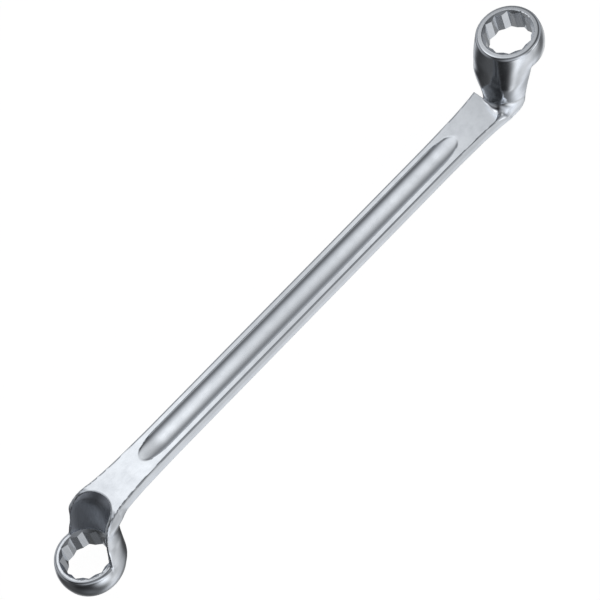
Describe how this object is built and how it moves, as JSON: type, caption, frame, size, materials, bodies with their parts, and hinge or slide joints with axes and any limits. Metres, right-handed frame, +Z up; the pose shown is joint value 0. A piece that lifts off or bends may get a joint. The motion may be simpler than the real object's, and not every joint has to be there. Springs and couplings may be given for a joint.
{
  "type": "deep-offset ring spanner",
  "caption": "Double-ended deep-offset ring spanner with 12-point sockets, hollow-backed necks turned to opposite sides and a flat grooved handle.",
  "frame": {"origin": "centre of the footprint, on the surface the spanner lies on; it lies on the lower edge of the large ring and on the bend under the small ring, with its handle pitched 6.7 degrees down towards the small ring", "axes": "+X along the spanner towards the small (nominal 14 mm) ring, which steps up from the handle; +Y across the handle; +Z up; the large (nominal 15 mm) ring is at -X and steps down"},
  "size_m": [0.2374, 0.0226, 0.0275],
  "materials": {
    "chrome_plate": "bright chrome plate over polished drop forging"
  },
  "bodies": {
    "root": {"spanner_body": "chrome_plate"}
  },
  "joints": []
}
